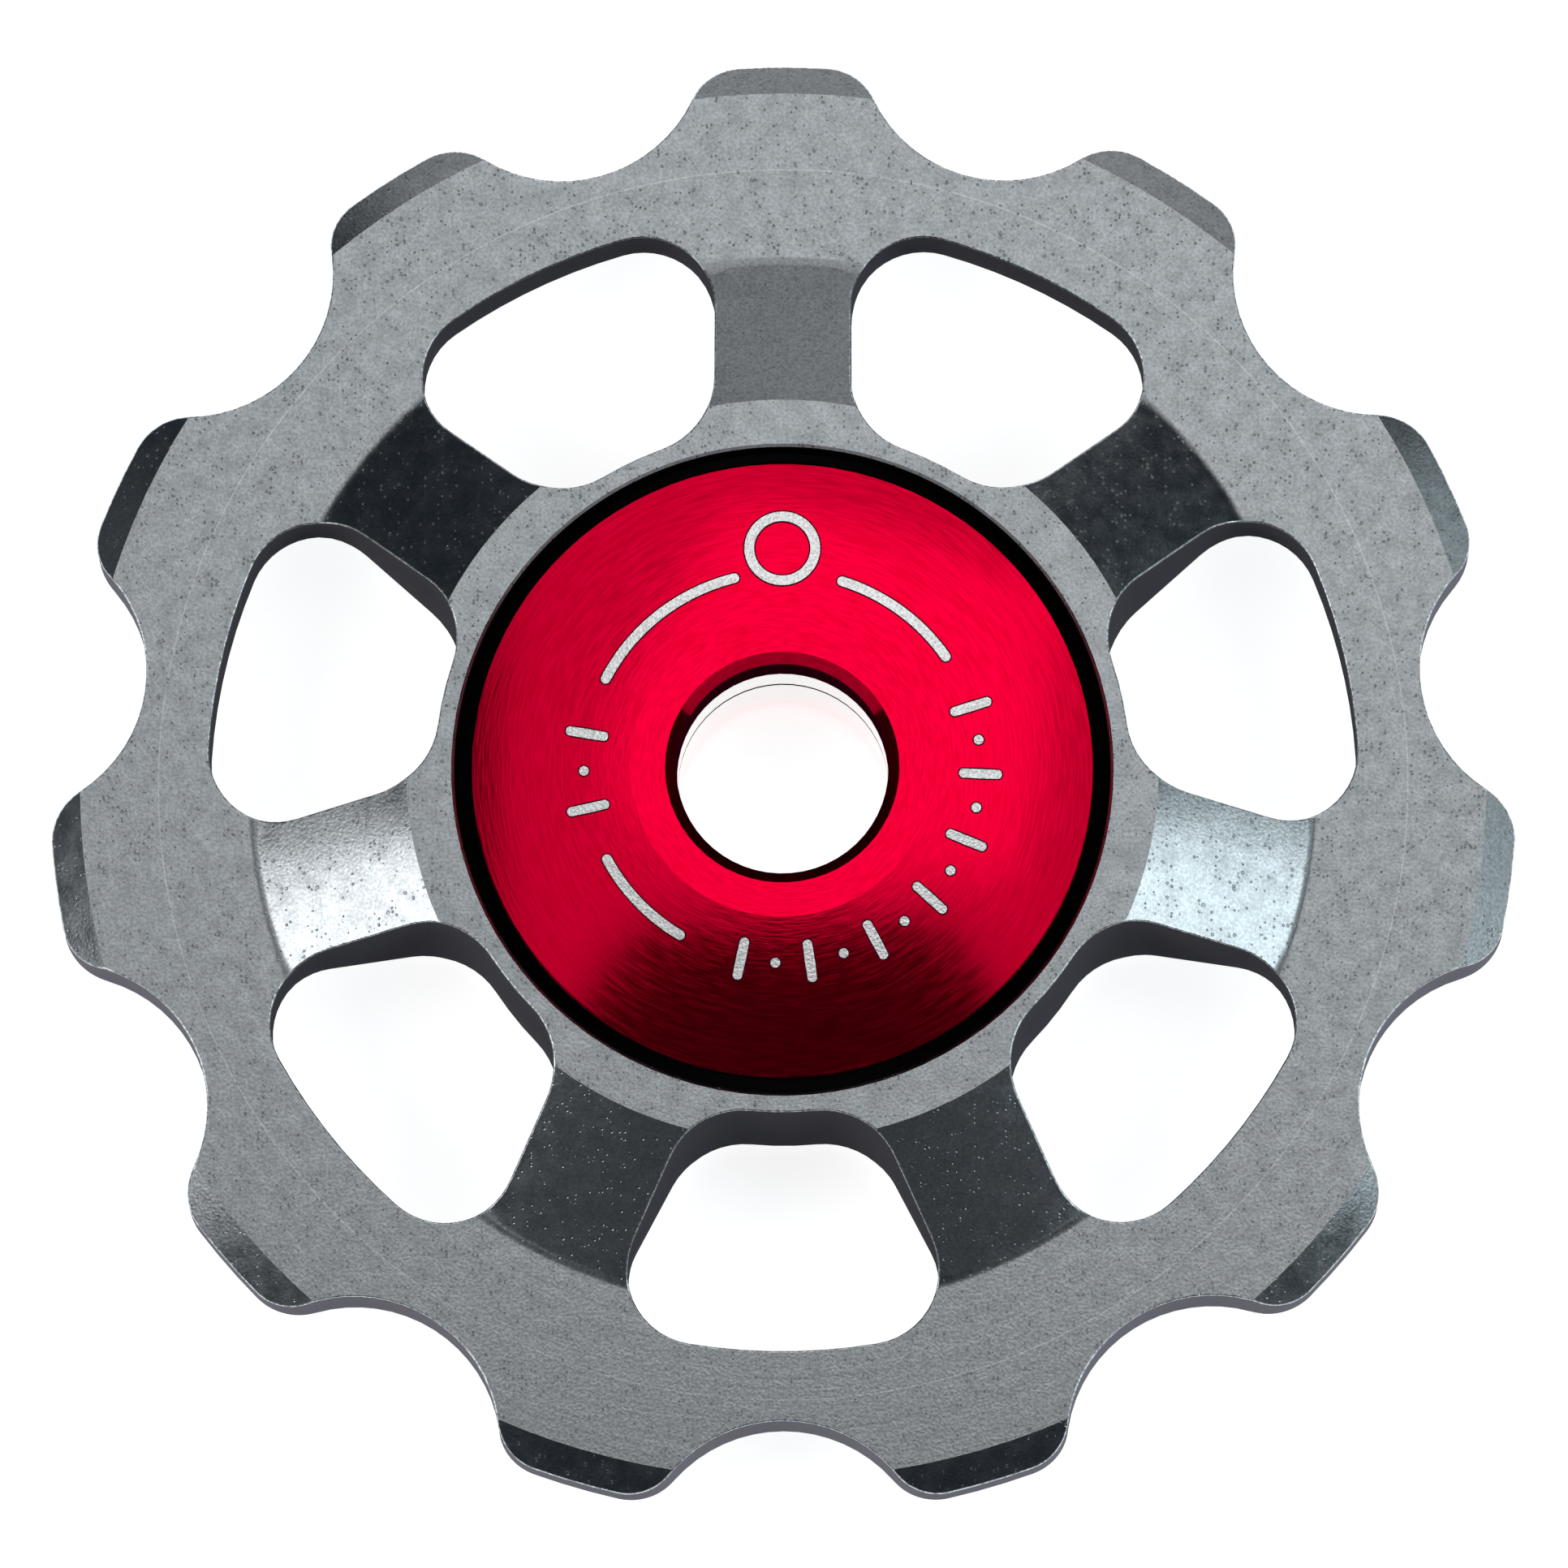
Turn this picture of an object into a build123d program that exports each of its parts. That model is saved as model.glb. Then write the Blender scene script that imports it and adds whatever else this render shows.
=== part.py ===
from build123d import *
from math import cos, pi, radians, sin, sqrt
import os

# Derailleur jockey wheel, lying flat with its axis along Z.
# The origin is the centre of the axle bore, half-way through the wheel.
# One tooth and one spoke point along +Y. Lengths are in millimetres.

# Chain that runs over the wheel
CHAIN_PITCH = 12.7
ROLLER_DIA = 7.75
ROLLER_SEAT_DROP = 0.06

# Toothed rim
TEETH = 11
OUTSIDE_DIA = 42.32
RIM_THICKNESS = 2.2
VALLEY_ARC_R = 4.18
TOOTH_CORNER_R = 1.55
TIP_CHAMFER_HEIGHT = 0.9
TIP_LAND = 1.2

# Spokes and the windows between them
SPOKES = 7
SPOKE_WIDTH = 3.94
WINDOW_OUTER_R = 16.58
WINDOW_OUTER_CORNER_R = 2.1
WINDOW_INNER_CORNER_R = 2.3
SPOKE_FOOT_R = 15.3
SPOKE_FOOT_FILLET_R = 0.8

# Hub of the wheel
HUB_WIDTH = 6.3
HUB_FACE_R = 10.8
HUB_STEP = 0.82
RECESS_WALL = 0.57
RECESS_DEPTH = 1.0
RECESS_BEVEL = 0.1

# Ball bearing
BEARING_BORE = 8.0
BEARING_OD = 16.0
BEARING_WIDTH = 5.0
BALLS = 9
BALL_DIA = 2.381
GROOVE_CONFORMITY = 0.52
BALL_CLEARANCE = 0.015
SHOULDER_HEIGHT = 0.44
RING_CHAMFER = 0.25
SEAL_THICKNESS = 0.4
SEAL_INSET = 0.1
SEAL_SEAT_WALL = 0.8
SEAL_RUNNING_CLEARANCE = 0.07

# Cage that spaces the balls
CAGE_SHOULDER_GAP = 0.15
CAGE_HEEL = 0.55
CAGE_SNAP_HEIGHT = 0.6
CAGE_POCKET_CLEARANCE = 0.08
CAGE_RELIEF_WIDTH = 0.6
CAGE_RELIEF_DEPTH = 0.8

# Dust caps, one in each side of the bearing
AXLE_BORE_DIA = 6.08
BORE_MOUTH_CHAMFER = 0.325
CAP_FACE_WIDTH = 1.0
CAP_STANDOFF = 0.28
CAP_RADIAL_GAP = 0.44
CAP_EDGE_SETBACK = 0.04
CAP_EDGE_BEVEL = 0.06
CAP_CROWN = 0.05
CAP_LIFT = 0.25
CAP_SHOULDER_WIDTH = 1.0
SPIGOT_CLEARANCE = 0.01
SPIGOT_END_GAP = 0.2
SPIGOT_LEAD_IN = 0.2

# Running diameters and heights that follow from the sizes above
PITCH_R = CHAIN_PITCH / (2 * sin(pi / TEETH))
ROOT_R = PITCH_R - ROLLER_DIA / 2 - ROLLER_SEAT_DROP
TIP_R = OUTSIDE_DIA / 2
RECESS_R = HUB_FACE_R - HUB_STEP - RECESS_WALL
BALL_R = BALL_DIA / 2
BALL_CIRCLE_R = (BEARING_BORE + BEARING_OD) / 4
GROOVE_R = BALL_DIA * GROOVE_CONFORMITY
INNER_SHOULDER_R = BALL_CIRCLE_R - BALL_R + SHOULDER_HEIGHT
OUTER_SHOULDER_R = BALL_CIRCLE_R + BALL_R - SHOULDER_HEIGHT
CAP_R = RECESS_R - CAP_RADIAL_GAP


def turned(section):
    """Turn a half section, drawn as radius and height, about the wheel's axis."""
    return revolve(Plane.XZ * section, Axis.Z)


def ring_section(inner_r, outer_r, low, high):
    """Plain rectangular half section of a ring."""
    return Pos((inner_r + outer_r) / 2, (low + high) / 2) * Rectangle(outer_r - inner_r, high - low)


# The wheel is one turned and milled piece: hub, spokes and toothed rim
def wheel_section():
    """Half section of the turned blank, from the bearing seat to the tooth tips."""
    hub_top = HUB_WIDTH / 2
    rim_top = RIM_THICKNESS / 2
    seat_top = hub_top - RECESS_DEPTH
    seat_r = BEARING_OD / 2
    foot = (SPOKE_FOOT_R, rim_top)
    lip = (RECESS_R, hub_top)
    upper = Polyline(
        (seat_r, 0), (seat_r, seat_top), (RECESS_R, seat_top), lip, (HUB_FACE_R, hub_top), foot,
        (TIP_R - TIP_CHAMFER_HEIGHT, rim_top), (TIP_R, TIP_LAND / 2), (TIP_R, 0), close=True,
    )
    section = make_face(upper)
    section = fillet(section.vertices().sort_by_distance(foot)[0], SPOKE_FOOT_FILLET_R)
    section = chamfer(section.vertices().sort_by_distance(lip)[0], RECESS_BEVEL)
    return section + mirror(section, about=Plane.XZ)


def tooth_outline():
    """Tips on one circle, roller valleys between them and a round corner where they meet."""
    valley_turn = 90 + 180 / TEETH
    valleys = PolarLocations(ROOT_R + VALLEY_ARC_R, TEETH, start_angle=valley_turn) * Circle(VALLEY_ARC_R)
    outline = Circle(TIP_R) - valleys
    return fillet(outline.vertices(), TOOTH_CORNER_R)


def window_outline():
    """Opening on +Y: sides parallel to its two spokes, ends on circles about the axis."""
    half_turn = pi / SPOKES
    tip = SPOKE_WIDTH / 2 / sin(half_turn)
    reach = 2 * WINDOW_OUTER_R
    spread = (reach - tip) * sin(half_turn) / cos(half_turn)
    wedge = make_face(Polyline((0, tip), (spread, reach), (-spread, reach), close=True))
    inner_r = HUB_FACE_R - HUB_STEP
    opening = wedge & (Circle(WINDOW_OUTER_R) - Circle(inner_r))
    inner_corners = opening.vertices().sort_by(Axis.Y)[:2]
    opening = fillet(inner_corners, WINDOW_INNER_CORNER_R)
    centre = (0, 0)
    outer_corners = opening.vertices().sort_by_distance(centre)[-2:]
    return fillet(outer_corners, WINDOW_OUTER_CORNER_R)


def make_pulley_wheel():
    blank = turned(wheel_section())
    toothed = extrude(tooth_outline(), HUB_WIDTH / 2, both=True)
    window = extrude(window_outline(), HUB_WIDTH / 2, both=True)
    windows = PolarLocations(0, SPOKES, start_angle=180 / SPOKES) * window
    return (blank & toothed) - windows


# Deep groove ball bearing, pressed into the hub
def make_outer_ring():
    half_width = BEARING_WIDTH / 2
    outer_r = BEARING_OD / 2
    section = ring_section(OUTER_SHOULDER_R, outer_r, -half_width, half_width)
    groove_centre = BALL_CIRCLE_R + BALL_R + BALL_CLEARANCE - GROOVE_R
    section -= Pos(groove_centre, 0) * Circle(GROOVE_R)
    seal_seat = half_width - SEAL_INSET - SEAL_THICKNESS
    for low in (seal_seat, -half_width):
        section -= ring_section(OUTER_SHOULDER_R, outer_r - SEAL_SEAT_WALL, low, low + half_width - seal_seat)
    outer_corners = section.vertices().group_by(Axis.X)[-1]
    return turned(chamfer(outer_corners, RING_CHAMFER))


def make_inner_ring():
    half_width = BEARING_WIDTH / 2
    section = ring_section(BEARING_BORE / 2, INNER_SHOULDER_R, -half_width, half_width)
    groove_centre = BALL_CIRCLE_R - BALL_R - BALL_CLEARANCE + GROOVE_R
    section -= Pos(groove_centre, 0) * Circle(GROOVE_R)
    bore_corners = section.vertices().group_by(Axis.X)[0]
    return turned(chamfer(bore_corners, RING_CHAMFER))


def make_seal():
    """Upper seal: seated in the outer ring, its lip just clear of the inner ring."""
    top = BEARING_WIDTH / 2 - SEAL_INSET
    lip_r = INNER_SHOULDER_R + SEAL_RUNNING_CLEARANCE
    return turned(ring_section(lip_r, BEARING_OD / 2 - SEAL_SEAT_WALL, top - SEAL_THICKNESS, top))


def ball_places():
    return PolarLocations(BALL_CIRCLE_R, BALLS, start_angle=90)


def make_cage():
    """Crown cage: pockets bored from the side that snap over the balls, with reliefs between them."""
    inner_r = INNER_SHOULDER_R + CAGE_SHOULDER_GAP
    outer_r = OUTER_SHOULDER_R - CAGE_SHOULDER_GAP
    pocket_r = BALL_R + CAGE_POCKET_CLEARANCE
    crown = turned(ring_section(inner_r, outer_r, -pocket_r - CAGE_HEEL, CAGE_SNAP_HEIGHT))
    crown -= ball_places() * (Rot(0, 90, 0) * Cylinder(pocket_r, outer_r))
    relief = Pos(0, 0, CAGE_SNAP_HEIGHT) * Box(outer_r, CAGE_RELIEF_WIDTH, 2 * CAGE_RELIEF_DEPTH)
    return crown - PolarLocations(BALL_CIRCLE_R, BALLS, start_angle=90 + 180 / BALLS) * relief


# Dust caps: a flange that hides the bearing, with a slightly crowned cone, and a spigot
def make_front_cap():
    half_width = BEARING_WIDTH / 2
    bore_r = AXLE_BORE_DIA / 2
    face_z = HUB_WIDTH / 2 + CAP_STANDOFF
    face_r = bore_r + BORE_MOUTH_CHAMFER + CAP_FACE_WIDTH
    edge_z = HUB_WIDTH / 2 - CAP_EDGE_SETBACK
    under_z = half_width + CAP_LIFT
    spigot_r = BEARING_BORE / 2 - SPIGOT_CLEARANCE
    shoulder_r = BEARING_BORE / 2 + CAP_SHOULDER_WIDTH
    spigot_end = SPIGOT_END_GAP / 2
    mouth = (bore_r, face_z)
    face_edge = (face_r, face_z)
    crown_top = ((face_r + CAP_R) / 2, (face_z + edge_z) / 2 + CAP_CROWN)
    rim = (CAP_R, edge_z)
    nose = (spigot_r, spigot_end)
    cone = ThreePointArc(face_edge, crown_top, rim)
    rest = Polyline(
        rim, (CAP_R, under_z), (shoulder_r, under_z), (shoulder_r, half_width),
        (spigot_r, half_width), nose, (bore_r, spigot_end), mouth, face_edge,
    )
    section = make_face([cone, rest])
    section = chamfer(section.vertices().sort_by_distance(mouth)[0], BORE_MOUTH_CHAMFER)
    section = chamfer(section.vertices().sort_by_distance(rim)[0], CAP_EDGE_BEVEL)
    section = chamfer(section.vertices().sort_by_distance(nose)[0], SPIGOT_LEAD_IN)
    return turned(section)


front_cap = make_front_cap()
front_seal = make_seal()
pieces = {
    "pulley_wheel": make_pulley_wheel(),
    "bearing_outer_ring": make_outer_ring(),
    "bearing_inner_ring": make_inner_ring(),
    "ball_cage": make_cage(),
    "front_seal": front_seal,
    "rear_seal": mirror(front_seal, about=Plane.XY),
    "front_dust_cap": front_cap,
    "rear_dust_cap": mirror(front_cap, about=Plane.XY),
}
for number, place in enumerate(ball_places(), start=1):
    pieces[f"ball_{number}"] = place * Sphere(BALL_R)

os.makedirs("parts", exist_ok=True)
for name, piece in pieces.items():
    export_step(piece, f"parts/{name}.step")
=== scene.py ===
from math import cos, pi, radians, sin

import bpy
from mathutils import Euler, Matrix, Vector


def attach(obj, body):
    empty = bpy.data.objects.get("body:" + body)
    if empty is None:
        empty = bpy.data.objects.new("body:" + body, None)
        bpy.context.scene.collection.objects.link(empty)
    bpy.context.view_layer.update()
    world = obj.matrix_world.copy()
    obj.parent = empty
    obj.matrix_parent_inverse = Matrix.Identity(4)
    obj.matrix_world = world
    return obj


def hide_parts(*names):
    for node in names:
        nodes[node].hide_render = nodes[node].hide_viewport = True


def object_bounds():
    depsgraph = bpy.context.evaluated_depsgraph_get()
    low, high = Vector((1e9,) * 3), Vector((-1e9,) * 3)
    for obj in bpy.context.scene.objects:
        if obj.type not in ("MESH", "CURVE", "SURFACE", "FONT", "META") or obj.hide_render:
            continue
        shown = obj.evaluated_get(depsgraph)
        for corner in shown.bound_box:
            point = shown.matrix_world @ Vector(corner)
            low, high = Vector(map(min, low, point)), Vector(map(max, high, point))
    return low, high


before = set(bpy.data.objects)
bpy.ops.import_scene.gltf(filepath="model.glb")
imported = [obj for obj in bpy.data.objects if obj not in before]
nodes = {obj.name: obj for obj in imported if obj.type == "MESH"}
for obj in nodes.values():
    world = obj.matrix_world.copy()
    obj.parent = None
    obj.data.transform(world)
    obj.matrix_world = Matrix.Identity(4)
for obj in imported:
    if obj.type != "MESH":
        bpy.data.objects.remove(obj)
cad_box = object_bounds()
scene = bpy.context.scene

# The view: the wheel lies flat and is looked down on from 80 degrees above the table,
# through a long lens that keeps it almost free of perspective.
MM = 0.001
VIEW_TILT = (10.07, 0.50)
VIEW_FROM = (0.021, 0.110, 519.1)
FOCAL_LENGTH = 412.8
SENSOR_WIDTH = 36
view_tilt = Euler((radians(VIEW_TILT[0]), radians(VIEW_TILT[1]), 0))
view_point = Vector(VIEW_FROM) * MM
view_point.rotate(view_tilt)
lens = bpy.data.cameras.new("camera")
lens.sensor_width = SENSOR_WIDTH
lens.lens = FOCAL_LENGTH
lens.clip_start = 0.01
lens.clip_end = 50
camera = bpy.data.objects.new("camera", lens)
camera.location = view_point
camera.rotation_euler = view_tilt
scene.collection.objects.link(camera)
scene.camera = camera
scene.view_settings.view_transform = "Standard"


# The table: a plain white sheet that the rear dust cap stands on. It glows for the camera
# and in reflections, and lamps light the rest of it, so the shadow of the wheel stays.
TABLE_SIZE = 8
TABLE_WHITE = (0.85, 0.85, 0.85, 1)
TABLE_GLOW = 0.80


def put(tree, kind, inputs=None, **settings):
    """Add a node, set what it does, and give each named input its value or its link."""
    node = tree.nodes.new(kind)
    for name, value in settings.items():
        setattr(node, name, value)
    for name, value in (inputs or {}).items():
        if isinstance(value, bpy.types.NodeSocket):
            tree.links.new(value, node.inputs[name])
        else:
            node.inputs[name].default_value = value
    return node


def maths(tree, operation, first, second=0.0):
    """One step of arithmetic on numbers or links."""
    return put(tree, "ShaderNodeMath", {0: first, 1: second}, operation=operation).outputs[0]


bpy.ops.object.select_all(action="DESELECT")
bpy.ops.mesh.primitive_plane_add(size=TABLE_SIZE, location=(0, 0, cad_box[0][2]))
table = bpy.context.object
table.name = "table"
table_sheet = bpy.data.materials.new("table_sheet")
table_sheet.use_nodes = True
tree = table_sheet.node_tree
tree.nodes.clear()
rays = put(tree, "ShaderNodeLightPath").outputs
seen = maths(tree, "MAXIMUM", rays["Is Camera Ray"], rays["Is Glossy Ray"])
seen = maths(tree, "MAXIMUM", seen, rays["Is Transmission Ray"])
glow = put(tree, "ShaderNodeEmission", {"Strength": maths(tree, "MULTIPLY", seen, TABLE_GLOW)})
matt = put(tree, "ShaderNodeBsdfDiffuse", {"Color": TABLE_WHITE})
both = put(tree, "ShaderNodeAddShader", {0: matt.outputs[0], 1: glow.outputs[0]})
put(tree, "ShaderNodeOutputMaterial", {"Surface": both.outputs[0]})
table.data.materials.append(table_sheet)


# The studio: a long softbox overhead, a box and a fill on each side, dim cards low down behind
# and in front, and a dark bluish room. The camera hides the softbox from the cap's lower side.
ROOM_LIGHT = 0.05
ROOM_TINT = (0.60, 0.78, 1.0, 1)
COOL = (0.875, 0.98, 1.0)
CAMERA_SHADE_R = 150 * MM
CAMERA_SHADE_SIDES = 48
CAMERA_SLIM = 0.75
CAMERA_BLACK = (0.02, 0.02, 0.02, 1)
CAMERA_ASIDE = 5 * MM
CAMERA_BACK = 12 * MM
room = bpy.data.worlds.new("room")
room.use_nodes = True
room.node_tree.nodes["Background"].inputs["Color"].default_value = ROOM_TINT
room.node_tree.nodes["Background"].inputs["Strength"].default_value = ROOM_LIGHT
scene.world = room

bpy.ops.object.select_all(action="DESELECT")
bpy.ops.mesh.primitive_circle_add(
    vertices=CAMERA_SHADE_SIDES, radius=CAMERA_SHADE_R, fill_type="NGON")
camera_body = bpy.context.object
camera_body.name = "camera_body"
camera_body.location = view_point * (1 + CAMERA_BACK / view_point.length)
camera_body.location.x -= CAMERA_ASIDE
camera_body.rotation_euler = view_tilt
camera_body.scale.x = CAMERA_SLIM
camera_black = bpy.data.materials.new("camera_black")
camera_black.use_nodes = True
camera_black.node_tree.nodes["Principled BSDF"].inputs["Base Color"].default_value = CAMERA_BLACK
camera_body.data.materials.append(camera_black)


def softbox(name, bearing, elevation, distance, width, height, brightness, tint=(1, 1, 1)):
    """Flat lamp aimed at the wheel; bearing runs clockwise from +Y, brightness is its own glow."""
    turn, rise = radians(bearing), radians(elevation)
    towards = Vector((sin(turn) * cos(rise), cos(turn) * cos(rise), sin(rise)))
    lamp = bpy.data.lights.new(name, "AREA")
    lamp.shape = "RECTANGLE"
    lamp.size = width
    lamp.size_y = height
    lamp.energy = brightness * pi * width * height
    lamp.color = tint
    holder = bpy.data.objects.new(name, lamp)
    holder.location = towards * distance
    holder.rotation_euler = towards.to_track_quat("Z", "Y").to_euler()
    scene.collection.objects.link(holder)


# Each lamp's bearing and elevation in degrees, then its distance, width and height in metres
softbox("overhead_wide", 4, 65.8, 0.90, 0.46, 1.12, 0.82)
softbox("overhead_core", 13, 76, 0.90, 0.24, 0.21, 0.64)
softbox("right_side", 101, 46, 0.50, 0.22, 0.20, 3.4, COOL)
softbox("left_side", -102, 46, 0.50, 0.20, 0.20, 4.1)
softbox("right_fill", 98, 63, 0.60, 0.34, 0.17, 0.75, COOL)
softbox("left_fill", -98, 65, 0.60, 0.34, 0.17, 0.70)
softbox("back_card", 6, 21.5, 0.60, 0.77, 0.18, 0.70)
softbox("back_right_card", 75, 27, 0.60, 0.44, 0.15, 0.90, COOL)
softbox("back_left_card", -70, 23, 0.60, 0.30, 0.15, 0.10)
softbox("front_card", 180, 54, 0.60, 1.00, 0.22, 0.08)
softbox("front_low_card", 180, 11, 0.50, 2.40, 0.15, 0.44)


# Pulley wheel: turned and milled from one piece of aluminium, bead blasted and then grey
# anodised. Faint turning marks show through the blasting, and its sharp edges are broken.
SAME_PLACE = 0.001 * MM
SHORTEST_EDGE = 0.055 * MM
FLAT_WITHIN = 0.3
SMOOTH_UP_TO = 22
HALF_RIM = 1.1 * MM
FOOT_HEIGHT = 0.08 * MM
FOOT_CONE_END_R = 15.142 * MM
FOOT_FLAT_END_R = 15.474 * MM
FOOT_SLACK = 0.01 * MM
EDGE_BREAK = 0.05 * MM
EDGE_SEGMENTS = 3
LEAST_BROKEN_ANGLE = 50
WHEEL_GREY = (0.290, 0.310, 0.322, 1)
WHEEL_GRAIN_DARK = (0.240, 0.255, 0.265, 1)
# The pits are real dents in the relief, and their dark colour is painted shade.
PIT_PAINTED_SHADE = (0.05, 0.05, 0.055, 1)
PIT_SHADE_SHARE = 0.25
SCRATCH_BRIGHT = (0.6, 0.62, 0.63, 1)
SCRATCH_SHARE = 0.35
SCRATCH_R = 18.0 * MM
SCRATCH_HALF_WIDTH = 0.03 * MM
# Painted shade: the upright walls get a matt tone in place of the dark reflections they show, and the window
# walls a darker one for the deeper shade inside the windows.
TOOTH_WALL_PAINTED_SHADE = (0.37, 0.35, 0.40, 1)
WINDOW_WALL_PAINTED_SHADE = (0.155, 0.15, 0.17, 1)
WINDOW_REACH = 17.4 * MM
WALL_BEGINS, WALL_FULL = 0.45, 0.15
# Painted shade: the ledge of the recess under the cap's edge is near black, for the shade in the narrow gap.
RECESS_PAINTED_SHADE = (0.006, 0.006, 0.007, 1)
RECESS_R = 9.43 * MM
BLASTING_SIZE = 0.09 * MM
FULL_SWING = (0.3, 0.7)
GRAIN_LEVELS = (0.32, 0.68)
MOTTLE_LEVELS = (0.35, 0.75)
MOTTLE_SHARE = 0.10
SMOOTHER_BY, ROUGHER_BY = 0.04, 0.05
MOTTLE_SCALE = 0.16
PIT_SCALE = 0.70
PIT_LEAST = 0.16
PIT_SOFTNESS = 0.16
WHEEL_LINES = 3200
WHEEL_BREAKS = 1.6
WHEEL_RELIEF = 0.016 * MM
STREAK_HEIGHT, GRAIN_HEIGHT, PIT_DROP = 0.15, 0.13, 0.38


def separate_copy(node, name):
    """Copy a CAD node's mesh into a piece of its own, with its loose triangles joined up."""
    bpy.ops.object.select_all(action="DESELECT")
    piece = bpy.data.objects.new(name, node.data.copy())
    scene.collection.objects.link(piece)
    bpy.context.view_layer.objects.active = piece
    piece.select_set(True)
    bpy.ops.mesh.customdata_custom_splitnormals_clear()
    bpy.ops.object.mode_set(mode="EDIT")
    bpy.ops.mesh.select_all(action="SELECT")
    bpy.ops.mesh.remove_doubles(threshold=SAME_PLACE)
    bpy.ops.object.mode_set(mode="OBJECT")
    return piece


def even_feet(piece):
    """Draw the fillet at each spoke's foot into one row of faces, so that it shades evenly."""
    ends, between = [], []
    for vertex in piece.data.vertices:
        radius = vertex.co.xy.length
        if not HALF_RIM - FOOT_SLACK < abs(vertex.co.z) < HALF_RIM + FOOT_HEIGHT:
            continue
        if min(abs(radius - FOOT_CONE_END_R), abs(radius - FOOT_FLAT_END_R)) < FOOT_SLACK:
            ends.append(vertex.co.copy())
        elif FOOT_CONE_END_R < radius < FOOT_FLAT_END_R:
            between.append(vertex)
    for vertex in between:
        vertex.co = min(ends, key=lambda end: (end - vertex.co).length)


def join_flats(shortest_edge, flat_within):
    """Close up the edges too short to be rounded, and make each flat one face."""
    bpy.ops.object.mode_set(mode="EDIT")
    bpy.ops.mesh.select_all(action="SELECT")
    bpy.ops.mesh.remove_doubles(threshold=shortest_edge)
    bpy.ops.mesh.dissolve_limited(angle_limit=radians(flat_within))
    bpy.ops.object.mode_set(mode="OBJECT")


def break_edges(piece, width, least_angle):
    """Smooth the curves, round the sharp edges on a second slot, and keep the flats flat."""
    bpy.ops.object.shade_smooth_by_angle(angle=radians(SMOOTH_UP_TO))
    bevel = piece.modifiers.new("edge_break", "BEVEL")
    bevel.width = width
    bevel.segments = EDGE_SEGMENTS
    bevel.harden_normals = True
    bevel.limit_method = "ANGLE"
    bevel.angle_limit = radians(least_angle)
    bevel.use_clamp_overlap = False
    bevel.material = 1
    bpy.ops.object.modifier_apply(modifier=bevel.name)
    flats = piece.modifiers.new("even_flats", "WEIGHTED_NORMAL")
    flats.keep_sharp = True
    bpy.ops.object.modifier_apply(modifier=flats.name)


def turned_streaks():
    """Group: streaks that run round the axis, some long and some short, as a tool leaves them."""
    group = bpy.data.node_groups.new("turned_streaks", "ShaderNodeTree")
    group.interface.new_socket("Position", in_out="INPUT", socket_type="NodeSocketVector")
    group.interface.new_socket("Lines per metre", in_out="INPUT", socket_type="NodeSocketFloat")
    group.interface.new_socket("Breaks per turn", in_out="INPUT", socket_type="NodeSocketFloat")
    group.interface.new_socket("Streaks", in_out="OUTPUT", socket_type="NodeSocketFloat")
    group.interface.new_socket("Radius", in_out="OUTPUT", socket_type="NodeSocketFloat")
    taken = put(group, "NodeGroupInput").outputs
    flat = put(group, "ShaderNodeVectorMath", {0: taken["Position"], 1: (1, 1, 0)}, operation="MULTIPLY")
    radius = put(group, "ShaderNodeVectorMath", {0: flat.outputs[0]}, operation="LENGTH").outputs["Value"]
    heading = put(group, "ShaderNodeVectorMath", {0: flat.outputs[0]}, operation="NORMALIZE")
    around = put(group, "ShaderNodeVectorMath", {
        0: heading.outputs[0], "Scale": taken["Breaks per turn"],
    }, operation="SCALE")
    line = maths(group, "MULTIPLY", radius, taken["Lines per metre"])
    along = put(group, "ShaderNodeCombineXYZ", {"Z": line})
    place = put(group, "ShaderNodeVectorMath", {0: around.outputs[0], 1: along.outputs[0]}, operation="ADD")
    streaks = put(group, "ShaderNodeTexNoise", {"Vector": place.outputs[0], "Scale": 1.0, "Detail": 3.0})
    put(group, "NodeGroupOutput", {"Streaks": streaks.outputs["Fac"], "Radius": radius})
    return group


def blasted_grain():
    """Group: the fine frosted grain of bead blasting, broader mottling, and scattered pits."""
    group = bpy.data.node_groups.new("blasted_grain", "ShaderNodeTree")
    group.interface.new_socket("Position", in_out="INPUT", socket_type="NodeSocketVector")
    group.interface.new_socket("Grain size", in_out="INPUT", socket_type="NodeSocketFloat")
    group.interface.new_socket("Grain", in_out="OUTPUT", socket_type="NodeSocketFloat")
    group.interface.new_socket("Mottle", in_out="OUTPUT", socket_type="NodeSocketFloat")
    group.interface.new_socket("Pits", in_out="OUTPUT", socket_type="NodeSocketFloat")
    taken = put(group, "NodeGroupInput").outputs
    fineness = maths(group, "DIVIDE", 1.0, taken["Grain size"])
    grain = put(group, "ShaderNodeTexNoise", {"Vector": taken["Position"], "Scale": fineness, "Detail": 1.0})
    mottle = put(group, "ShaderNodeTexNoise", {
        "Vector": taken["Position"], "Scale": maths(group, "MULTIPLY", fineness, MOTTLE_SCALE), "Detail": 3.0,
    })
    flat = put(group, "ShaderNodeVectorMath", {0: taken["Position"], 1: (1, 1, 0)}, operation="MULTIPLY")
    spots = put(group, "ShaderNodeTexVoronoi", {
        "Vector": flat.outputs[0], "Scale": maths(group, "MULTIPLY", fineness, PIT_SCALE),
    })
    chosen = put(group, "ShaderNodeSeparateColor", {"Color": spots.outputs["Color"]}).outputs["Red"]
    gathered = maths(group, "MULTIPLY", chosen, mottle.outputs["Fac"])
    reach = maths(group, "SUBTRACT", gathered, PIT_LEAST)
    inside = maths(group, "SUBTRACT", reach, spots.outputs["Distance"])
    pits = put(group, "ShaderNodeMapRange", {"Value": inside, "From Min": 0.0, "From Max": PIT_SOFTNESS})
    put(group, "NodeGroupOutput", {
        "Grain": grain.outputs["Fac"], "Mottle": mottle.outputs["Fac"], "Pits": pits.outputs["Result"],
    })
    return group


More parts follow.
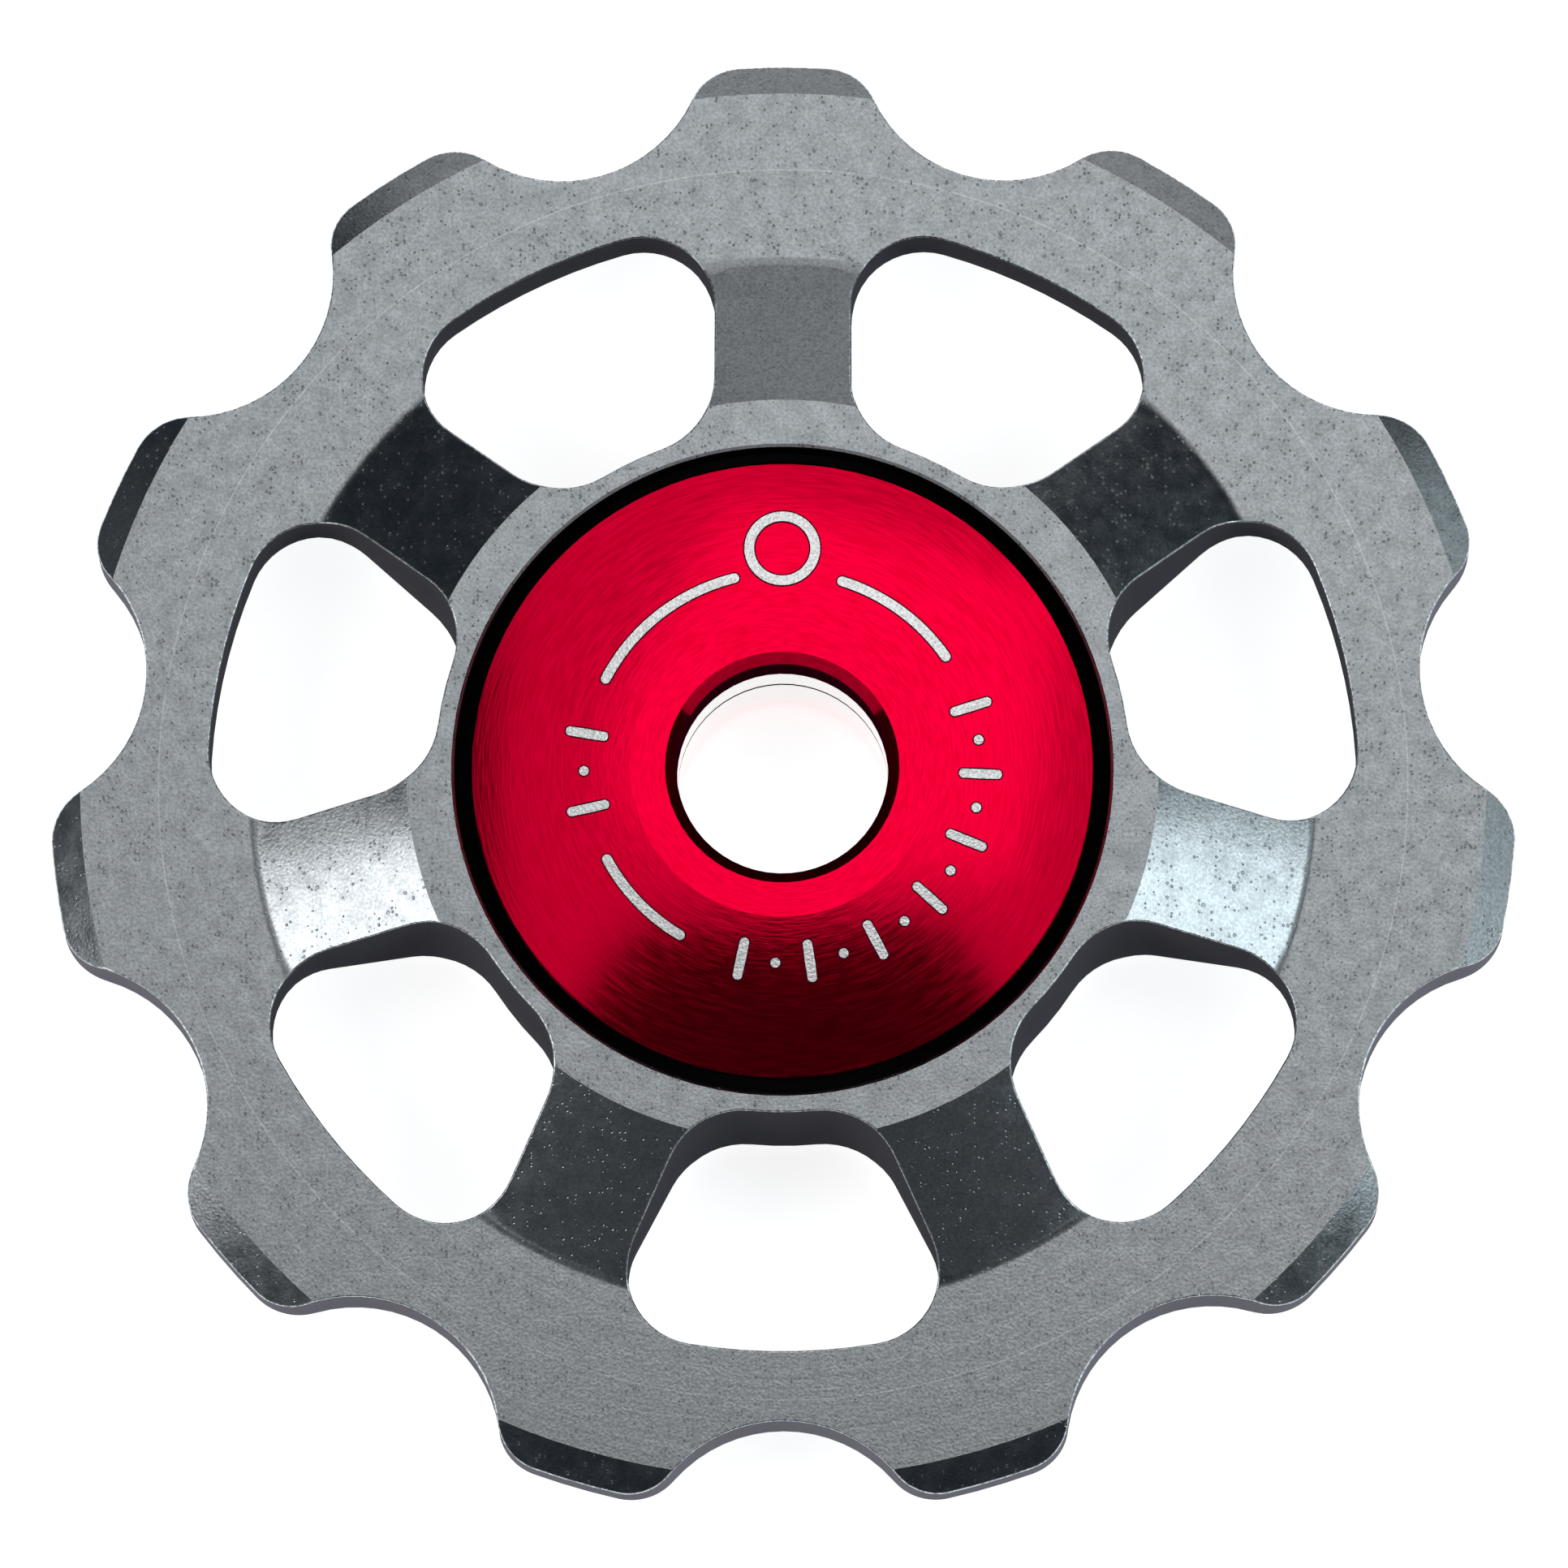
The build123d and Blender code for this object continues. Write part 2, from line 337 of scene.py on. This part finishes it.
def spread(tree, value, low, high, start=0.0, end=1.0):
    """Stretch a slowly varying value between two levels, so that low becomes start."""
    stretched = put(tree, "ShaderNodeMapRange", {
        "Value": value, "From Min": low, "From Max": high, "To Min": start, "To Max": end,
    })
    return stretched.outputs["Result"]


def blend_colors(tree, share, first, second):
    """Mix two colours by a share that varies over the surface."""
    return put(tree, "ShaderNodeMix", {0: share, 6: first, 7: second}, data_type="RGBA").outputs[2]


def bump(tree, height, depth):
    """Relief of a given depth in metres."""
    return put(tree, "ShaderNodeBump", {"Height": height, "Distance": depth, "Strength": 1.0}).outputs[0]


def metal(name, roughness):
    """A bare metal with one finish; its colour and relief are linked by the section that uses it."""
    material = bpy.data.materials.new(name)
    material.use_nodes = True
    shader = material.node_tree.nodes["Principled BSDF"]
    shader.inputs["Metallic"].default_value = 1.0
    shader.inputs["Roughness"].default_value = roughness
    return material, material.node_tree, shader


streak_group = turned_streaks()
grain_group = blasted_grain()


def streaks_on(tree, place, lines_per_metre, breaks_per_turn):
    """Put the turned streaks into a material, as fine as its piece needs."""
    return put(tree, "ShaderNodeGroup", {
        "Position": place, "Lines per metre": lines_per_metre, "Breaks per turn": breaks_per_turn,
    }, node_tree=streak_group).outputs


def grain_on(tree, place, grain_size):
    """Put the blasted grain into a material, with the size of one grain in metres."""
    return put(tree, "ShaderNodeGroup", {
        "Position": place, "Grain size": grain_size,
    }, node_tree=grain_group).outputs


def anodised_grey(name, roughness, lift):
    """Blasted and grey anodised finish, with painted shade on its walls and recess; lift lightens its grain,
    and on the broken edges paints a highlight.
    """
    material, tree, shader = metal(name, roughness)
    shader.inputs["IOR"].default_value = 1.0
    where = put(tree, "ShaderNodeTexCoord").outputs
    grain = grain_on(tree, where["Object"], BLASTING_SIZE)
    turning = streaks_on(tree, where["Object"], WHEEL_LINES, WHEEL_BREAKS)
    speckle = spread(tree, grain["Grain"], *GRAIN_LEVELS)
    # The light end of the grain; on the broken edges the lift takes it almost to white, a painted highlight.
    grain_and_highlight_grey = tuple(channel * lift for channel in WHEEL_GREY[:3]) + (1,)
    colour = blend_colors(tree, speckle, WHEEL_GRAIN_DARK, grain_and_highlight_grey)
    mottling = spread(tree, grain["Mottle"], *MOTTLE_LEVELS, 0.0, MOTTLE_SHARE)
    colour = blend_colors(tree, mottling, colour, WHEEL_GREY)
    off_scratch = maths(tree, "ABSOLUTE", maths(tree, "SUBTRACT", turning["Radius"], SCRATCH_R))
    scratch = spread(tree, off_scratch, SCRATCH_HALF_WIDTH, 0.0, 0.0, SCRATCH_SHARE)
    colour = blend_colors(tree, scratch, colour, SCRATCH_BRIGHT)
    # Painted shade in the pits, over their real dent in the relief.
    colour = blend_colors(tree, maths(tree, "MULTIPLY", grain["Pits"], PIT_SHADE_SHARE), colour, PIT_PAINTED_SHADE)
    # Painted shade on the upright walls: matt, and darker inside the windows than on the teeth.
    upright = maths(tree, "ABSOLUTE", put(tree, "ShaderNodeSeparateXYZ", {0: where["Normal"]}).outputs["Z"])
    wall = spread(tree, upright, WALL_BEGINS, WALL_FULL)
    inside = maths(tree, "LESS_THAN", turning["Radius"], WINDOW_REACH)
    colour = blend_colors(tree, wall, colour, blend_colors(tree, inside, TOOTH_WALL_PAINTED_SHADE, WINDOW_WALL_PAINTED_SHADE))
    # Painted shade in the recess under the cap's edge, which is also made matt.
    recess = maths(tree, "LESS_THAN", turning["Radius"], RECESS_R)
    colour = blend_colors(tree, recess, colour, RECESS_PAINTED_SHADE)
    tree.links.new(colour, shader.inputs["Base Color"])
    matt = maths(tree, "MAXIMUM", wall, recess)
    tree.links.new(maths(tree, "SUBTRACT", 1.0, matt), shader.inputs["Metallic"])
    rough = spread(tree, grain["Mottle"], *FULL_SWING, roughness - SMOOTHER_BY, roughness + ROUGHER_BY)
    tree.links.new(rough, shader.inputs["Roughness"])
    relief = maths(tree, "MULTIPLY", turning["Streaks"], STREAK_HEIGHT)
    relief = maths(tree, "ADD", relief, maths(tree, "MULTIPLY", grain["Grain"], GRAIN_HEIGHT))
    relief = maths(tree, "SUBTRACT", relief, maths(tree, "MULTIPLY", grain["Pits"], PIT_DROP))
    tree.links.new(bump(tree, relief, WHEEL_RELIEF), shader.inputs["Normal"])
    return material


toothed_wheel = separate_copy(nodes["pulley_wheel"], "toothed_wheel")
even_feet(toothed_wheel)
join_flats(SHORTEST_EDGE, FLAT_WITHIN)
toothed_wheel.data.materials.clear()
toothed_wheel.data.materials.append(anodised_grey("blasted_grey_alloy", roughness=0.21, lift=1.14))
# The second slot, on the broken edges, carries a painted highlight.
toothed_wheel.data.materials.append(anodised_grey("broken_edge_painted_highlight", roughness=0.28, lift=2.8))
break_edges(toothed_wheel, EDGE_BREAK, LEAST_BROKEN_ANGLE)
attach(toothed_wheel, "wheel")
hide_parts("pulley_wheel")


# Dust caps: turned from aluminium and anodised bright red, with the fine marks of the last
# cut running round their cones. Just inside the front mouth the bore wall is painted a matt
# dark red, a painted shade for the depth of the bore; below it the bore is reamed after
# anodising, so its wall is bare and bright.
CAP_RED = (0.74, 0.0, 0.034, 1)
CAP_RED_SHADE = (0.56, 0.0, 0.020, 1)
# Painted shade at the top of the bore wall.
BORE_MOUTH_PAINTED_SHADE = (0.05, 0.0, 0.010, 1)
BARE_ALLOY = (0.90, 0.90, 0.89, 1)
BORE_WALL_R = 3.06 * MM
REAMED_UP_TO = 1.65 * MM
CAP_LINES = 14000
CAP_BREAKS = 9.0
CAP_SMOOTHEST, CAP_ROUGHEST = 0.08, 0.14
CAP_RELIEF = 0.0012 * MM
STREAK_LEVELS = (0.35, 0.65)

turned_red, tree, shader = metal("turned_red_alloy", CAP_ROUGHEST)
shader.inputs["IOR"].default_value = 1.0
where = put(tree, "ShaderNodeTexCoord").outputs
turning = streaks_on(tree, where["Object"], CAP_LINES, CAP_BREAKS)
colour = blend_colors(tree, spread(tree, turning["Streaks"], *STREAK_LEVELS), CAP_RED_SHADE, CAP_RED)
height = put(tree, "ShaderNodeSeparateXYZ", {0: where["Object"]}).outputs["Z"]
bore_wall = maths(tree, "LESS_THAN", turning["Radius"], BORE_WALL_R)
reamed = maths(tree, "LESS_THAN", height, REAMED_UP_TO)
# The top of the bore wall takes the painted shade; the reamed part below is bare alloy.
colour = blend_colors(tree, bore_wall, colour, blend_colors(tree, reamed, BORE_MOUTH_PAINTED_SHADE, BARE_ALLOY))
tree.links.new(colour, shader.inputs["Base Color"])
bright = maths(tree, "MAXIMUM", maths(tree, "SUBTRACT", 1.0, bore_wall), reamed)
tree.links.new(bright, shader.inputs["Metallic"])
rough = spread(tree, turning["Streaks"], *FULL_SWING, CAP_SMOOTHEST, CAP_ROUGHEST)
tree.links.new(rough, shader.inputs["Roughness"])
tree.links.new(bump(tree, turning["Streaks"], CAP_RELIEF), shader.inputs["Normal"])
for name in ("front_dust_cap", "rear_dust_cap"):
    nodes[name].data.materials[0] = turned_red


# Marks etched into the front cap: plain arcs, bars and dots in a ring, cut through the red
# down to frosted silver, each laid over a wider dark sheet that is painted shade along its edge.
MARK_RING_R = 5.69 * MM
MARK_WIDTH = 0.28 * MM
MARK_OUTLINE = 0.04 * MM
MARK_THICKNESS = 0.008 * MM
MARK_LIFT = 0.014 * MM
OUTLINE_LIFT = 0.006 * MM
BAR_LENGTH = 0.95 * MM
DOT_SIDES = 16
ARC_STEP = 2
CIRCLE_PLACE = 6.4 * MM
CIRCLE_R = 0.95 * MM
ARC_MARKS = ((17.6, 55.6), (211, 242), (297, 346))
BAR_BEARINGS = (72, 92, 112, 132, 152, 172, 192, 258, 280)
DOT_BEARINGS = (82, 102, 122, 142, 162, 182, 269)
FROSTED_DARK = (0.72, 0.72, 0.72, 1)
FROSTED_LIGHT = (1.0, 1.0, 0.99, 1)
FROSTED_ROUGHNESS = 0.30
# Painted shade: the dark red outline around each mark.
OUTLINE_PAINTED_SHADE_DARK = (0.03, 0.0, 0.002, 1)
OUTLINE_PAINTED_SHADE_LIGHT = (0.12, 0.01, 0.02, 1)
OUTLINE_ROUGHNESS = 0.5
ETCHED_GRAIN = 0.07 * MM
ETCHED_LEVELS = (0.35, 0.6)
ETCHED_RELIEF = 0.01 * MM


def select_where(test):
    """Select the vertices of the mesh being edited whose place passes a test."""
    bpy.ops.mesh.select_all(action="DESELECT")
    bpy.ops.object.mode_set(mode="OBJECT")
    for vertex in bpy.context.object.data.vertices:
        vertex.select = test(vertex.co)
    bpy.ops.object.mode_set(mode="EDIT")


def flat_dot(half_width):
    """Start a mark as a flat round dot at twelve o'clock on the ring, above the cap."""
    bpy.ops.object.select_all(action="DESELECT")
    bpy.ops.mesh.primitive_circle_add(
        vertices=DOT_SIDES, radius=half_width, fill_type="NGON", location=(0, MARK_RING_R, cad_box[1][2]))
    bpy.ops.object.transform_apply(location=True)
    bpy.ops.object.mode_set(mode="EDIT")
    bpy.ops.mesh.select_mode(type="VERT")
    return bpy.context.object


def turned_to(mark, bearing):
    """Turn the mark being edited clockwise about the axle to its bearing."""
    bpy.ops.mesh.select_all(action="SELECT")
    bpy.ops.transform.rotate(value=radians(bearing), orient_axis="Z", center_override=(0, 0, 0))
    bpy.ops.object.mode_set(mode="OBJECT")
    return mark


def dot_mark(half_width, bearing):
    """A dot as it is, turned to its bearing."""
    return turned_to(flat_dot(half_width), bearing)


def bar_mark(half_width, bearing):
    """Pull the two halves of a dot apart along the radius."""
    mark = flat_dot(half_width)
    for side in (-1, 1):
        select_where(lambda place: (place.y - MARK_RING_R) * side > half_width / DOT_SIDES)
        bpy.ops.transform.translate(value=(0, side * BAR_LENGTH / 2, 0))
    return turned_to(mark, bearing)


def arc_mark(half_width, start, end):
    """Sweep one half of a dot's edge round the axle."""
    mark = flat_dot(half_width)
    select_where(lambda place: place.x > -half_width / DOT_SIDES)
    bpy.ops.mesh.spin(
        steps=round((end - start) / ARC_STEP), angle=radians(end - start), center=(0, 0, 0), axis=(0, 0, 1))
    return turned_to(mark, start)


def circle_mark(half_width):
    """A plain circle at the head of the ring: its outer edge stepped in to the inner one."""
    bpy.ops.object.select_all(action="DESELECT")
    bpy.ops.mesh.primitive_circle_add(
        vertices=3 * DOT_SIDES, radius=CIRCLE_R + half_width, location=(0, CIRCLE_PLACE, cad_box[1][2]))
    bpy.ops.object.transform_apply(location=True)
    bpy.ops.object.mode_set(mode="EDIT")
    bpy.ops.mesh.select_all(action="SELECT")
    bpy.ops.mesh.extrude_region()
    inward = (CIRCLE_R - half_width) / (CIRCLE_R + half_width)
    bpy.ops.transform.resize(value=(inward, inward, 1), center_override=(0, CIRCLE_PLACE, cad_box[1][2]))
    bpy.ops.object.mode_set(mode="OBJECT")
    return bpy.context.object


def ring_of_marks(name, half_width, lift, material):
    """Make every mark, join them, lay them on the cap and give them their thickness."""
    made = [arc_mark(half_width, start, end) for start, end in ARC_MARKS]
    made += [bar_mark(half_width, bearing) for bearing in BAR_BEARINGS]
    made += [dot_mark(half_width, bearing) for bearing in DOT_BEARINGS]
    made.append(circle_mark(half_width))
    bpy.ops.object.select_all(action="DESELECT")
    for mark in made:
        mark.select_set(True)
    ring = made[0]
    bpy.context.view_layer.objects.active = ring
    bpy.ops.object.join()
    ring.name = name
    laid = ring.modifiers.new("laid_on_cap", "SHRINKWRAP")
    laid.target = nodes["front_dust_cap"]
    laid.wrap_method = "PROJECT"
    laid.use_project_z = True
    laid.use_positive_direction = False
    laid.use_negative_direction = True
    laid.offset = lift
    bpy.ops.object.modifier_apply(modifier=laid.name)
    thick = ring.modifiers.new("thickness", "SOLIDIFY")
    thick.thickness = MARK_THICKNESS
    bpy.ops.object.modifier_apply(modifier=thick.name)
    bpy.ops.object.mode_set(mode="EDIT")
    bpy.ops.mesh.select_all(action="SELECT")
    bpy.ops.mesh.normals_make_consistent(inside=False)
    bpy.ops.object.mode_set(mode="OBJECT")
    ring.data.materials.append(material)
    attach(ring, "axle_side")


def frosted(name, dark, light, roughness):
    """Etched metal: a coarse sparkle of dark and light grains."""
    material, tree, shader = metal(name, roughness)
    where = put(tree, "ShaderNodeTexCoord").outputs
    grain = grain_on(tree, where["Object"], ETCHED_GRAIN)
    speckle = spread(tree, grain["Grain"], *ETCHED_LEVELS)
    tree.links.new(blend_colors(tree, speckle, dark, light), shader.inputs["Base Color"])
    tree.links.new(bump(tree, grain["Grain"], ETCHED_RELIEF), shader.inputs["Normal"])
    return material


# The wider dark layer under the marks is painted shade along their etched edges.
ring_of_marks(
    "etched_mark_painted_shade", MARK_WIDTH / 2 + MARK_OUTLINE, OUTLINE_LIFT,
    frosted("etched_edge_painted_shade", OUTLINE_PAINTED_SHADE_DARK, OUTLINE_PAINTED_SHADE_LIGHT, OUTLINE_ROUGHNESS))
ring_of_marks(
    "etched_marks", MARK_WIDTH / 2, MARK_LIFT,
    frosted("frosted_silver", FROSTED_DARK, FROSTED_LIGHT, FROSTED_ROUGHNESS))


# Ball bearing: two ground steel rings, nine black ceramic balls, a green nylon cage and a
# black rubber seal on each side. Only the open parts of a stripped wheel show them.
STEEL = (0.55, 0.55, 0.56, 1)
STEEL_SHADE = (0.42, 0.42, 0.43, 1)
STEEL_ROUGHNESS = 0.22
GRINDING_LINES = 20000
GRINDING_BREAKS = 5.0
GRINDING_RELIEF = 0.001 * MM
MOULD_VARIES_BY = 0.05
ground_steel, tree, shader = metal("ground_steel", STEEL_ROUGHNESS)
where = put(tree, "ShaderNodeTexCoord").outputs
grinding = streaks_on(tree, where["Object"], GRINDING_LINES, GRINDING_BREAKS)
colour = blend_colors(tree, spread(tree, grinding["Streaks"], *STREAK_LEVELS), STEEL_SHADE, STEEL)
tree.links.new(colour, shader.inputs["Base Color"])
tree.links.new(bump(tree, grinding["Streaks"], GRINDING_RELIEF), shader.inputs["Normal"])
for name in ("bearing_outer_ring", "bearing_inner_ring"):
    nodes[name].data.materials[0] = ground_steel


def moulded(name, dark, light, roughness, grain_size, depth):
    """A moulded or polished piece with one colour, a fine grain and a faint mottling."""
    material = bpy.data.materials.new(name)
    material.use_nodes = True
    tree = material.node_tree
    shader = tree.nodes["Principled BSDF"]
    where = put(tree, "ShaderNodeTexCoord").outputs
    grain = grain_on(tree, where["Object"], grain_size)
    tree.links.new(blend_colors(tree, grain["Mottle"], dark, light), shader.inputs["Base Color"])
    rough = spread(
        tree, grain["Grain"], *FULL_SWING, roughness - MOULD_VARIES_BY, roughness + MOULD_VARIES_BY)
    tree.links.new(rough, shader.inputs["Roughness"])
    tree.links.new(bump(tree, grain["Grain"], depth), shader.inputs["Normal"])
    return material


seal_rubber = moulded(
    "seal_rubber", dark=(0.012, 0.012, 0.012, 1), light=(0.03, 0.03, 0.03, 1),
    roughness=0.55, grain_size=0.12 * MM, depth=0.004 * MM)
cage_nylon = moulded(
    "cage_nylon", dark=(0.03, 0.10, 0.05, 1), light=(0.06, 0.18, 0.09, 1),
    roughness=0.42, grain_size=0.25 * MM, depth=0.003 * MM)
ball_ceramic = moulded(
    "ball_ceramic", dark=(0.018, 0.018, 0.02, 1), light=(0.04, 0.04, 0.045, 1),
    roughness=0.1, grain_size=0.3 * MM, depth=0.0003 * MM)
for name in ("front_seal", "rear_seal"):
    nodes[name].data.materials[0] = seal_rubber
nodes["ball_cage"].data.materials[0] = cage_nylon
for name, node in nodes.items():
    if name.startswith("ball_") and name != "ball_cage":
        node.data.materials[0] = ball_ceramic
